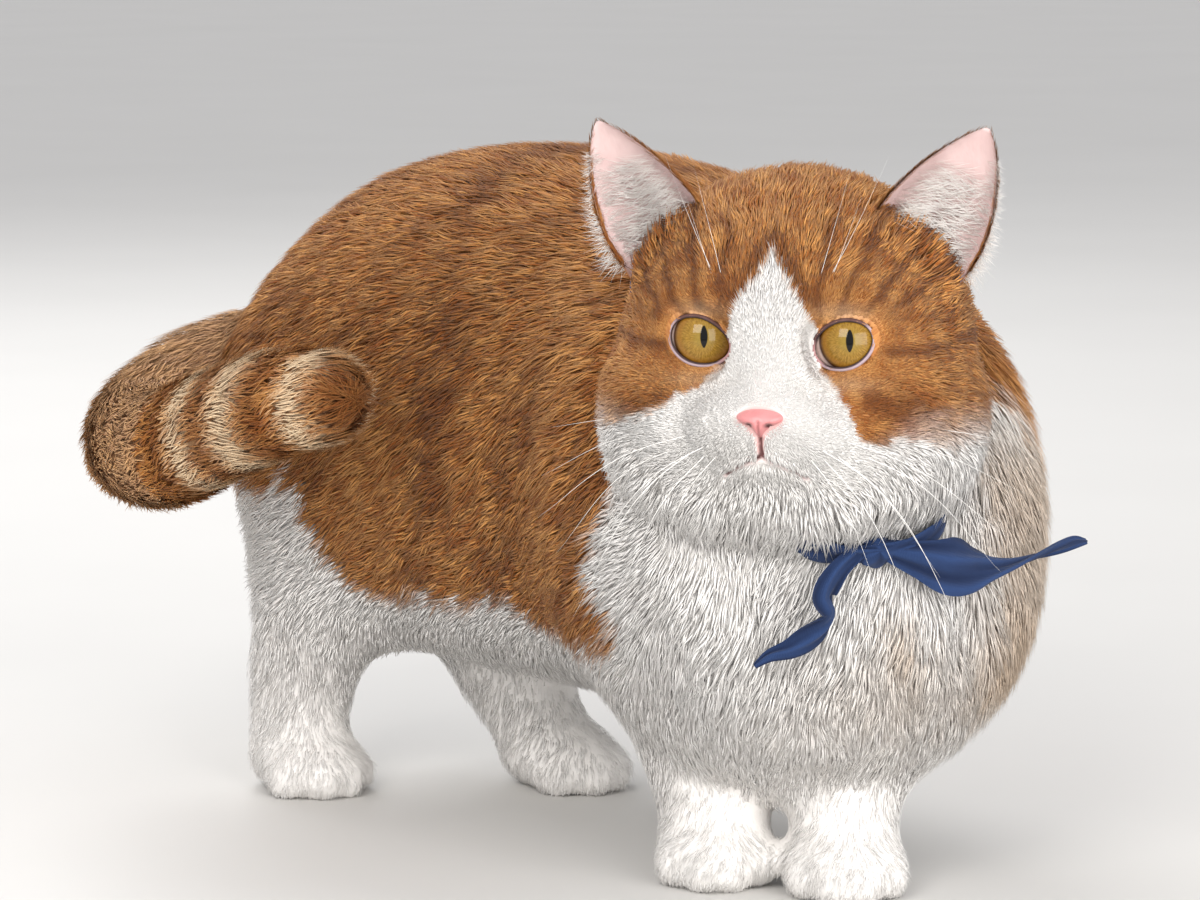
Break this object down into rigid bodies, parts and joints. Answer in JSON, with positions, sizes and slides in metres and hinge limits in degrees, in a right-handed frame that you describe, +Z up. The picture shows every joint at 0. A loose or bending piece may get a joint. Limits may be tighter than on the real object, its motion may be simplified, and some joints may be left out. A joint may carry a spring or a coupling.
{
  "type": "munchkin cat",
  "caption": "Short-legged plush-coated cat standing still, ginger and white, head turned to its right, tail curled forward beside the flank, with a tied neckerchief.",
  "frame": {"origin": "middle of the bounding box's underside, on the floor between the paws", "axes": "+Y from the head end towards the rump, +X to the cat's left, +Z up"},
  "size_m": [0.2186, 0.3694, 0.2353],
  "materials": {
    "coat_ginger": "matte",
    "coat_white": "matte",
    "eye": "gloss",
    "nose": "satin",
    "kerchief": "matte"
  },
  "bodies": {
    "root": {"ear_left": "coat_ginger", "ear_right": "coat_ginger", "eye_left": "eye", "eye_right": "eye", "head": "coat_ginger", "kerchief_band": "kerchief", "kerchief_end_low": "kerchief", "kerchief_end_side": "kerchief", "kerchief_knot": "kerchief", "leg_front_left": "coat_white", "leg_front_right": "coat_white", "leg_hind_left": "coat_white", "leg_hind_right": "coat_white", "neck": "coat_ginger", "nose": "nose", "paw_front_left": "coat_white", "paw_front_right": "coat_white", "paw_hind_left": "coat_white", "paw_hind_right": "coat_white", "tail_base": "coat_ginger", "tail_middle": "coat_ginger", "tail_tip": "coat_ginger", "torso": "coat_ginger"}
  },
  "joints": []
}
